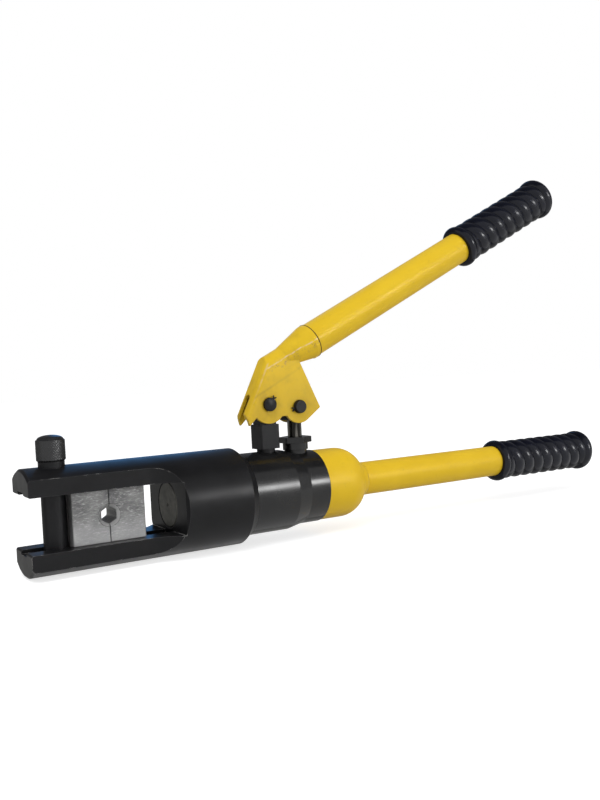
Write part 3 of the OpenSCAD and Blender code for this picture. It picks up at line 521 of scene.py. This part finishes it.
def black_grip():
    """Glossy dipped plastic of the grips, black with a touch of blue."""
    s = Shader("grip_black", GRIP_DARK, specular=0.25)
    s.color(s.mix(s.ramp(s.noise(60), 0.35, 0.7), GRIP_DARK, GRIP_PALE))
    s.rough(s.spread(s.noise(150, 4), 0.18, 0.25))
    s.normal(s.bump(s.noise(300), GRIP_DIMPLE, 0.25))
    return s.material


RUBBER = (0.012, 0.012, 0.012)
BRASS = (0.6, 0.4, 0.13)
SEAM_DARK = (0.03, 0.02, 0.01)
SEAM_PALE = (0.12, 0.075, 0.02)


def seal_rubber():
    """Matt black rubber of the seals."""
    s = Shader("seal_rubber", RUBBER, specular=0.3)
    s.rough(s.spread(s.noise(300), 0.6, 0.8))
    return s.material


def valve_brass():
    """Turned brass of the valve screws."""
    s = Shader("valve_brass", BRASS, metallic=1.0)
    s.rough(s.spread(s.noise(900, 2, stretch=(1, 0.03, 0.03)), 0.22, 0.38))
    return s.material


def dark_seam():
    """Dark gap filled with dust and paint."""
    s = Shader("dark_seam", SEAM_DARK, 0.8, specular=0.2)
    s.color(s.mix(s.ramp(s.noise(200), 0.4, 0.6), SEAM_DARK, SEAM_PALE))
    return s.material


finishes = {
    black_head(): ["jaw_head"],
    black_turned(): ["pump_body", "gland_nut"],
    black_part(): ["fulcrum_post", "die_pin", "fulcrum_pin", "plunger_pin", "split_pins"],
    knob_black(): ["pin_knob"],
    die_steel(): ["fixed_die", "moving_die"],
    ram_steel(): ["ram"],
    plunger_steel(): ["plunger"],
    bright_steel(): ["release_spindle", "ram_return_spring", "suction_ball", "delivery_ball",
                     "relief_ball", "suction_spring", "delivery_spring", "relief_spring"],
    bracket_paint(): ["lever_bracket"],
    yellow_paint(): ["lever_tube", "reservoir_cap", "handle_tube"],
    black_grip(): ["lever_grip", "handle_grip"],
    seal_rubber(): ["body_seal", "ram_wiper", "ram_seal", "plunger_seal", "cap_seal", "oil_bladder"],
    valve_brass(): ["suction_screw", "delivery_plug", "relief_screw"],
}
finish_of = {name: finish for finish, names in finishes.items() for name in names}
for name, finish in finish_of.items():
    slots = nodes[name].data.materials
    slots.clear()
    slots.append(finish)


# Pieces

def mesh_object(name, bm, material):
    """A smooth mesh object made from a bmesh."""
    mesh = bpy.data.meshes.new(name)
    bmesh.ops.recalc_face_normals(bm, faces=bm.faces)
    bm.to_mesh(mesh)
    bm.free()
    for face in mesh.polygons:
        face.use_smooth = True
    mesh.materials.append(material)
    made = bpy.data.objects.new(name, mesh)
    scene.collection.objects.link(made)
    return made


def along(start, direction):
    """A matrix that takes local Z to a direction from a start point."""
    turn = AXIS_Z.rotation_difference(direction).to_matrix().to_4x4()
    return Matrix.Translation(start) @ turn


def round_angles(count):
    """Evenly spaced angles round a circle."""
    return [2 * math.pi * k / count for k in range(count)]


def arc(center, radius, start, end, steps):
    """Points (radius, length) on an arc round a centre, with angles in degrees from the outward direction."""
    turn = (end - start) / steps
    return [(center[0] + radius * math.cos(math.radians(start + turn * k)),
             center[1] + radius * math.sin(math.radians(start + turn * k))) for k in range(steps + 1)]


def fan(bm, tip, verts):
    """Triangles from a tip to a row of vertices."""
    for first, second in zip(verts, verts[1:]):
        bm.faces.new((tip, first, second))


def strip(bm, row, after):
    """Quads between two rows of vertices."""
    for k in range(len(row) - 1):
        bm.faces.new((row[k], after[k], after[k + 1], row[k + 1]))


def loop_strip(bm, ring, after):
    """Quads between two closed rings of vertices."""
    strip(bm, ring + ring[:1], after + after[:1])


GRIP_BORE_R = 13.15 * MM
GRIP_MOUTH_FLANGE = 8 * MM
GRIP_MOUTH_FLANGE_R = 18 * MM
GRIP_MOUTH_END_DEG = 60
GRIP_MOUTH_STEPS = 14
GRIP_END_FLANGE = 11 * MM
GRIP_END_START_DEG = -66
GRIP_END_STEPS = 16
GRIP_END_WALL = 4 * MM
GRIP_RIB_R = 16.7 * MM
GRIP_RIB_ARC_R = 9.5 * MM
GRIP_RIBS = 8
GRIP_STARTS = 2
GRIP_GROOVE_HALF = 0.4 * MM
GRIP_GROOVE_DEPTH = 0.4 * MM
GRIP_COLUMNS = 96
GRIP_RIB_ROWS = 14
SHARP_EDGE = math.radians(32)
grip_len = size("handle_grip").x
grip_end_flange_r = size("handle_grip").y / 2
grip_pitch = (grip_len - GRIP_MOUTH_FLANGE - GRIP_END_FLANGE) / GRIP_RIBS
half_rib = grip_pitch / 2 - GRIP_GROOVE_HALF


def rib_radius(phase):
    """Radius of the grip at a share of one rib, from groove to groove."""
    from_middle = abs(phase - 0.5) * grip_pitch
    rise = math.sqrt(GRIP_RIB_ARC_R ** 2 - min(from_middle, half_rib) ** 2) - GRIP_RIB_ARC_R
    return GRIP_RIB_R + rise - (GRIP_GROOVE_DEPTH if from_middle > half_rib + GRIP_GROOVE_HALF / 2 else 0.0)


def rib_points(first, last, at):
    """Rows (radius, length) of a rib from one phase to another, without the last."""
    groove = GRIP_GROOVE_HALF / grip_pitch
    steps = [0.0] + [groove + (1 - 2 * groove) * k / (GRIP_RIB_ROWS - 2) for k in range(GRIP_RIB_ROWS - 1)]
    phases = [first + (last - first) * step for step in steps]
    return [(rib_radius(phase), at + (phase - first) * grip_pitch) for phase in phases]


def rib_column(share):
    """Rows of the ribbed part at one angle, with its first groove a share of a rib behind the mouth flange."""
    at = GRIP_MOUTH_FLANGE
    rows = []
    if share > 0:
        rows += rib_points(1 - share, 1.0, at)
        at += share * grip_pitch
    for _ in range(GRIP_RIBS - (1 if share > 0 else 0)):
        rows += rib_points(0.0, 1.0, at)
        at += grip_pitch
    if share > 0:
        rows += rib_points(0.0, 1 - share, at)
    rows.append((rib_radius(1 - share), grip_len - GRIP_END_FLANGE))
    return rows


def spiral_grip(name, start, direction, material):
    """A dipped grip: bore, mouth flange, ribs that run round it as a two start spiral, and a closed end."""
    bm = bmesh.new()
    place = along(start, direction)
    mouth_r = GRIP_MOUTH_FLANGE / 2
    end_r = GRIP_END_FLANGE / 2
    mouth = [(GRIP_BORE_R, grip_len - GRIP_END_WALL), (GRIP_BORE_R, 0)]
    mouth += arc((GRIP_MOUTH_FLANGE_R - mouth_r, mouth_r), mouth_r, -90, GRIP_MOUTH_END_DEG, GRIP_MOUTH_STEPS)
    end = arc((grip_end_flange_r - end_r, grip_len - end_r), end_r, GRIP_END_START_DEG, 90, GRIP_END_STEPS)
    floor_tip = bm.verts.new(place @ Vector((0, 0, grip_len - GRIP_END_WALL)))
    end_tip = bm.verts.new(place @ Vector((0, 0, grip_len)))
    columns = []
    for k, angle in enumerate(round_angles(GRIP_COLUMNS)):
        share = (k * GRIP_STARTS % GRIP_COLUMNS) / GRIP_COLUMNS
        parts = [[bm.verts.new(place @ Vector((r * math.cos(angle), r * math.sin(angle), length)))
                  for r, length in rows] for rows in (mouth, rib_column(share), end)]
        columns.append((share, *parts))
    for k, (share, front, ribs, back) in enumerate(columns):
        next_share, next_front, next_ribs, next_back = columns[(k + 1) % GRIP_COLUMNS]
        bm.faces.new((floor_tip, front[0], next_front[0]))
        strip(bm, front + ribs[:1], next_front + next_ribs[:1])
        # A groove starts or ends where the share jumps, and a fan takes up the rows that only one side has
        if share == 0:
            fan(bm, ribs[0], next_ribs[:GRIP_RIB_ROWS + 1])
            strip(bm, ribs, next_ribs[GRIP_RIB_ROWS:])
        elif next_share == 0:
            strip(bm, ribs[:len(next_ribs)], next_ribs)
            fan(bm, next_ribs[-1], ribs[len(next_ribs) - 1:])
        else:
            strip(bm, ribs, next_ribs)
        strip(bm, ribs[-1:] + back, next_ribs[-1:] + next_back)
        bm.faces.new((back[-1], end_tip, next_back[-1]))
    return mesh_object(name, bm, material)


def build_grips():
    starts = {
        "handle_grip": (Vector((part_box("handle_grip")[0].x, 0, middle("handle_grip").z)), AXIS_X, "handle"),
        "lever_grip": (middle("lever_grip") - LEVER_DIR * grip_len / 2, LEVER_DIR, "lever"),
    }
    for node, (start, direction, body) in starts.items():
        grip = spiral_grip(node + "_moulded", start, direction, finish_of[node])
        grip.data.set_sharp_from_angle(angle=SHARP_EDGE)
        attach(grip, body)
        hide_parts(node)


KNURLS = 34
KNURL_COLUMNS = 6
KNURL_ROWS = 40
KNURL_DEPTH = 0.32 * MM
KNURL_PITCH = 1.7 * MM
KNOB_BEVEL = 1.0 * MM
KNOB_LIP_SHARES = (0.35, 0.3)
KNOB_DOME_H = 2.8 * MM
KNOB_DOME_ROWS = 8


def knurl(angle, height):
    """Depth of a diamond knurl at a place on a knob."""
    turns = angle * KNURLS / (2 * math.pi)
    lift = height / KNURL_PITCH
    ridges = [abs((part % 1.0) - 0.5) * 2 for part in (turns + lift, turns - lift)]
    return KNURL_DEPTH * max(ridges) ** 3


def knob_rows(radius, side_h):
    """Rows (radius, height, whether knurled) of the knob from its foot up to its dome."""
    inner_r = radius - KNOB_BEVEL
    knurled_h = side_h - 2 * KNOB_BEVEL
    lip_in, lip_down = KNOB_LIP_SHARES
    rows = [(inner_r, 0.0, False)]
    rows += [(radius, KNOB_BEVEL + knurled_h * k / KNURL_ROWS, True) for k in range(KNURL_ROWS + 1)]
    rows += [(radius - lip_in * KNOB_BEVEL, side_h - lip_down * KNOB_BEVEL, False), (inner_r, side_h, False)]
    for k in range(1, KNOB_DOME_ROWS):
        rise = k / KNOB_DOME_ROWS * math.pi / 2
        rows.append((inner_r * math.cos(rise), side_h + KNOB_DOME_H * math.sin(rise), False))
    return rows


def build_knob():
    """The die pin's knob, with a knurled side, bevelled edges and a domed top."""
    low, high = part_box("pin_knob")
    center = middle("pin_knob")
    bm = bmesh.new()
    rings = []
    for row_r, height, knurled in knob_rows(size("pin_knob").x / 2, high.z - low.z - KNOB_DOME_H):
        ring = []
        for angle in round_angles(KNURLS * KNURL_COLUMNS):
            r = row_r - (knurl(angle, height) if knurled else 0.0)
            ring.append(bm.verts.new((center.x + r * math.cos(angle), center.y + r * math.sin(angle),
                                      low.z + height)))
        rings.append(ring)
    for ring, after in zip(rings, rings[1:]):
        loop_strip(bm, ring, after)
    bm.faces.new(rings[0])
    top = bm.verts.new((center.x, center.y, high.z))
    fan(bm, top, rings[-1] + rings[-1][:1])
    knob = mesh_object("pin_knob_knurled", bm, finish_of["pin_knob"])
    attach(knob, "die_pin")
    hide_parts("pin_knob")


RING_STEPS = 96
RING_SIDES = 10


def torus(name, center, direction, radius, tube_r, material):
    """A thin ring about an axis."""
    bm = bmesh.new()
    place = along(center, direction)
    profile = arc((radius, 0.0), tube_r, 0, 360, RING_SIDES)[:-1]
    rings = [[bm.verts.new(place @ Vector((r * math.cos(angle), r * math.sin(angle), length)))
              for r, length in profile] for angle in round_angles(RING_STEPS)]
    for ring, after in zip(rings, rings[1:] + rings[:1]):
        loop_strip(bm, ring, after)
    return mesh_object(name, bm, material)


SEAM_R = 13.25 * MM
SEAM_TUBE_R = 0.55 * MM
TUBE_R = 13.1 * MM


def build_seam():
    """The dark line where the lever tube meets its bracket."""
    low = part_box("lever_tube")[0]
    start = Vector((low.x + TUBE_R * math.sin(LEVER_ANGLE), 0, low.z + TUBE_R * math.cos(LEVER_ANGLE)))
    seam = torus("lever_seam", start, LEVER_DIR, SEAM_R, SEAM_TUBE_R, dark_seam())
    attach(seam, "lever")


SPRING_WIRE_R = 2 * MM
SPRING_TURNS = 6
SPRING_STEPS = 24
SPRING_SIDES = 10


def build_return_spring():
    """The ram's return spring, coiled from round wire over the length of the CAD spring."""
    low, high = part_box("ram_return_spring")
    center = middle("ram_return_spring")
    length = high.x - low.x
    coil_r = (high.y - low.y) / 2 - SPRING_WIRE_R
    first = low.x + SPRING_WIRE_R
    run = length - 2 * SPRING_WIRE_R
    count = SPRING_TURNS * SPRING_STEPS
    bm = bmesh.new()
    rings = []
    for k in range(count + 1):
        turn = 2 * math.pi * k / SPRING_STEPS
        outward = Vector((0, math.cos(turn), math.sin(turn)))
        at = Vector((first + run * k / count, center.y, center.z)) + outward * coil_r
        rings.append([bm.verts.new(at + (outward * math.cos(a) + AXIS_X * math.sin(a)) * SPRING_WIRE_R)
                      for a in round_angles(SPRING_SIDES)])
    for ring, after in zip(rings, rings[1:]):
        loop_strip(bm, ring, after)
    bm.faces.new(rings[0])
    bm.faces.new(rings[-1])
    spring = mesh_object("ram_return_spring_coil", bm, finish_of["ram_return_spring"])
    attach(spring, "barrel")
    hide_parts("ram_return_spring")
    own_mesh(spring)


build_grips()
build_knob()
build_seam()
build_return_spring()

# Camera, fitted to the photograph's outline

CAMERA_AT = Vector((-392.45, -553.35, 122.91)) * MM
CAMERA_YAW = math.radians(31.75)
CAMERA_PITCH = math.radians(1.90)
CAMERA_ROLL = math.radians(2.89)
CAMERA_LENS = 38.25
CAMERA_NEAR = 10 * MM


def build_camera():
    forward = Vector((math.sin(CAMERA_YAW) * math.cos(CAMERA_PITCH),
                      math.cos(CAMERA_YAW) * math.cos(CAMERA_PITCH), -math.sin(CAMERA_PITCH)))
    right = Vector((math.cos(CAMERA_YAW), -math.sin(CAMERA_YAW), 0))
    down = forward.cross(right)
    turned_right = right * math.cos(CAMERA_ROLL) + down * math.sin(CAMERA_ROLL)
    turned_down = down * math.cos(CAMERA_ROLL) - right * math.sin(CAMERA_ROLL)
    data = bpy.data.cameras.new("camera")
    data.lens = CAMERA_LENS
    data.clip_start = CAMERA_NEAR
    made = bpy.data.objects.new("camera", data)
    columns = Matrix((turned_right, -turned_down, -forward)).transposed().to_4x4()
    made.matrix_world = Matrix.Translation(CAMERA_AT) @ columns
    scene.collection.objects.link(made)
    scene.camera = made


# Floor, world and lamps, with lengths in metres

WHITE = (1, 1, 1)
BLACK = (0, 0, 0)


def seen_by_eye(tree):
    """1 for a ray from the camera, from a glossy surface or through glass, and 0 for a ray that lights."""
    light_path = tree.nodes.new("ShaderNodeLightPath")
    seen = light_path.outputs["Is Camera Ray"]
    for ray in ("Is Glossy Ray", "Is Transmission Ray"):
        most = tree.nodes.new("ShaderNodeMath")
        most.operation = "MAXIMUM"
        tree.links.new(seen, most.inputs[0])
        tree.links.new(light_path.outputs[ray], most.inputs[1])
        seen = most.outputs["Value"]
    return seen


FLOOR_GREY = (0.62, 0.62, 0.62)
FLOOR_HALF = 6.0
FLOOR_DROP = 0.5 * MM
FLOOR_LIFT = 0.68


def build_floor():
    """A pale floor that is white to the camera and keeps the tool's shadow."""
    bm = bmesh.new()
    bmesh.ops.create_grid(bm, x_segments=1, y_segments=1, size=FLOOR_HALF)
    floor = Shader("floor", FLOOR_GREY, 0.9, specular=0.1)
    floor.glow(WHITE, floor.times(seen_by_eye(floor.tree), FLOOR_LIFT))
    made = mesh_object("floor", bm, floor.material)
    made.location.z = cad_bounds[0][2] - FLOOR_DROP


WORLD_LIGHT = 0.6
WORLD_SEEN = 1.0


def build_world():
    """White to the camera and in reflections, and a plain even light on the tool."""
    world = bpy.data.worlds.new("world")
    scene.world = world
    world.use_nodes = True
    tree = world.node_tree
    background = tree.nodes["Background"]
    strength = tree.nodes.new("ShaderNodeMapRange")
    strength.inputs["To Min"].default_value = WORLD_LIGHT
    strength.inputs["To Max"].default_value = WORLD_SEEN
    tree.links.new(seen_by_eye(tree), strength.inputs["Value"])
    tree.links.new(strength.outputs["Result"], background.inputs["Strength"])
    background.inputs["Color"].default_value = (*WHITE, 1)


LAMP_TARGET = Vector((0.0, 0.0, 0.08))
KEY_AT = Vector((0.92, -1.62, 0.54))
KEY_SIDES = (0.38, 0.24)
KEY_POWER = 10
KEY_COLOR = (1.0, 0.99, 0.97)
TOP_AT = Vector((-0.7, -0.5, 1.65))
TOP_SIDES = (1.4, 1.0)
TOP_POWER = 13
TOP_COLOR = (0.95, 0.97, 1.0)


def area_lamp(name, at, sides, power, color):
    """A rectangular lamp that faces the tool and leaves reflections to the cards."""
    data = bpy.data.lights.new(name, "AREA")
    data.shape = "RECTANGLE"
    data.size, data.size_y = sides
    data.energy = power
    data.color = color
    made = bpy.data.objects.new(name, data)
    made.matrix_world = along(at, at - LAMP_TARGET)
    made.visible_glossy = False
    scene.collection.objects.link(made)


def build_lamps():
    area_lamp("key", KEY_AT, KEY_SIDES, KEY_POWER, KEY_COLOR)
    area_lamp("top", TOP_AT, TOP_SIDES, TOP_POWER, TOP_COLOR)


def card(name, corners, color):
    """A flat card of a plain colour, which only shows in reflections."""
    bm = bmesh.new()
    bm.faces.new([bm.verts.new(corner) for corner in corners])
    finish = Shader(name, BLACK, 1.0, specular=0.0)
    finish.glow(color, 1.0)
    made = mesh_object(name, bm, finish.material)
    made.visible_camera = False
    made.visible_diffuse = False
    made.visible_shadow = False
    return finish


GLOW_R = 0.8
GLOW_BACK_SHARE = 1.04
GLOW = 8.0
CORE_R = 0.19
CORE_SOFT = 0.08
CORE = 27.0


def build_glow():
    """The key lamp's soft box as reflections show it, bright in the middle and fading into the white."""
    center = LAMP_TARGET + (KEY_AT - LAMP_TARGET) * GLOW_BACK_SHARE
    place = along(center, KEY_AT - LAMP_TARGET)
    corners = [place @ Vector((x * GLOW_R, y * GLOW_R, 0)) for x, y in ((-1, -1), (1, -1), (1, 1), (-1, 1))]
    finish = card("glow_card", corners, WHITE)
    away = finish.reach(center, (1, 1, 1))
    near = finish.ramp(away, GLOW_R, 0.0)
    skirt = finish.ramp(finish.times(near, near), 0.0, 1.0, 1.0, GLOW)
    core = finish.ramp(away, CORE_R + CORE_SOFT, CORE_R - CORE_SOFT, 0.0, CORE)
    finish.glow(WHITE, finish.plus(skirt, core))


ROOM_LEFT = -3.0
ROOM_RIGHT = 3.0
ROOM_BACK = 1.6
ROOM_FRONT = -1.2
ROOM_H = 2.6
ROOM_DIM = (0.17, 0.17, 0.178)
ROOM_FLOOR_Y = -0.012
ROOM_FLOOR_Z = 0.001
# Grey of the dim floor in reflections, also standing in for the shade round the tool
ROOM_FLOOR_AND_SHADE = (0.42, 0.42, 0.41)
WINDOW_Y = 1.5
WINDOW_H = 2.55
WINDOW_FOOT_LEFT = 0.12
WINDOW_FOOT_RIGHT = 0.52
WINDOW_TOP_LEFT = 0.42
WINDOW_TOP_RIGHT = 0.98
WINDOW_BLUE = (0.19, 0.52, 1.1)


def build_cards():
    """A dim room behind and above the tool with one blue window, whose reflections lie on its top, and a dim
    floor under and behind it that also stands in for the shade round the tool in reflections.
    """
    window = ((WINDOW_FOOT_LEFT, 0), (WINDOW_FOOT_RIGHT, 0),
              (WINDOW_TOP_RIGHT, WINDOW_H), (WINDOW_TOP_LEFT, WINDOW_H))
    card("blue_card", [(x, WINDOW_Y, z) for x, z in window], WINDOW_BLUE)
    back = ((ROOM_LEFT, 0), (ROOM_RIGHT, 0), (ROOM_RIGHT, ROOM_H), (ROOM_LEFT, ROOM_H))
    card("back_card", [(x, ROOM_BACK, z) for x, z in back], ROOM_DIM)
    top = ((ROOM_LEFT, ROOM_BACK), (ROOM_RIGHT, ROOM_BACK), (ROOM_RIGHT, ROOM_FRONT), (ROOM_LEFT, ROOM_FRONT))
    card("top_card", [(x, y, ROOM_H) for x, y in top], ROOM_DIM)
    side = ((ROOM_BACK, 0), (ROOM_FRONT, 0), (ROOM_FRONT, ROOM_H), (ROOM_BACK, ROOM_H))
    card("side_card", [(ROOM_RIGHT, y, z) for y, z in side], ROOM_DIM)
    # A dim floor seen only in reflections, which also stands in for the shade on the floor round the tool
    low = ((ROOM_LEFT, ROOM_FLOOR_Y), (ROOM_RIGHT, ROOM_FLOOR_Y),
           (ROOM_RIGHT, ROOM_BACK), (ROOM_LEFT, ROOM_BACK))
    card("floor_and_shade_card", [(x, y, ROOM_FLOOR_Z) for x, y in low], ROOM_FLOOR_AND_SHADE)


build_camera()
build_floor()
build_world()
build_lamps()
build_glow()
build_cards()
